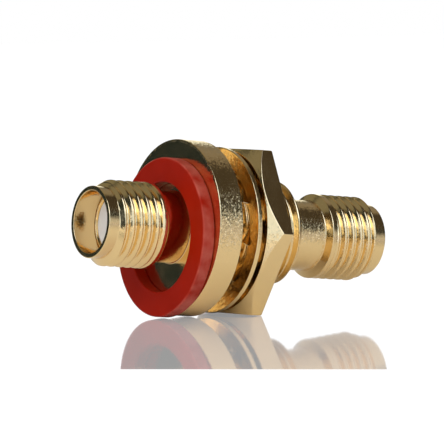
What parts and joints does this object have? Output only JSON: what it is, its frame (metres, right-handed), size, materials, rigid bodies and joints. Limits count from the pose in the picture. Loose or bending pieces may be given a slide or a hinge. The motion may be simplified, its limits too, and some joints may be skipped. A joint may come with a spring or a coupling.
{
  "type": "coaxial adapter",
  "caption": "Panel mount coaxial adapter with a threaded female jack at each end, a round flange, lock washer, hex nut and flat rubber gasket.",
  "frame": {"origin": "on the adapter's axis, in the plane of the flange's panel face", "axes": "+X along the axis from the front jack to the rear jack, +Z square to the hex nut's top flat, +Y by the right-hand rule"},
  "size_m": [0.0246, 0.014, 0.0132],
  "materials": {
    "body_gold": "gold plated, satin on the flange's edge and polished on its front",
    "washer_gold": "gold plated, bright",
    "nut_gold": "gold plated, satin flats",
    "contact_gold": "gold plated, bright",
    "insulator": "white fluoropolymer",
    "gasket": "red silicone, satin"
  },
  "bodies": {
    "adapter": {"adapter_body": "body_gold", "front_insulator": "insulator", "rear_insulator": "insulator", "center_contact": "contact_gold", "panel_gasket": "gasket"},
    "washer": {"lock_washer": "washer_gold"},
    "nut": {"hex_nut": "nut_gold"}
  },
  "joints": [
    {"name": "washer_slide", "type": "slide", "parent": "adapter", "child": "washer", "axis": [1, 0, 0], "range_m": [-0.00107, 0.0031]},
    {"name": "nut_turn", "type": "hinge", "parent": "washer", "child": "nut", "pos_m": [0.00327, 0, 0], "axis": [1, 0, 0], "range_deg": [-490, 1410]}
  ],
  "couplings": [
    {"joint": "nut_turn", "follows": "washer_slide", "rad_per_m": 7915.8}
  ]
}
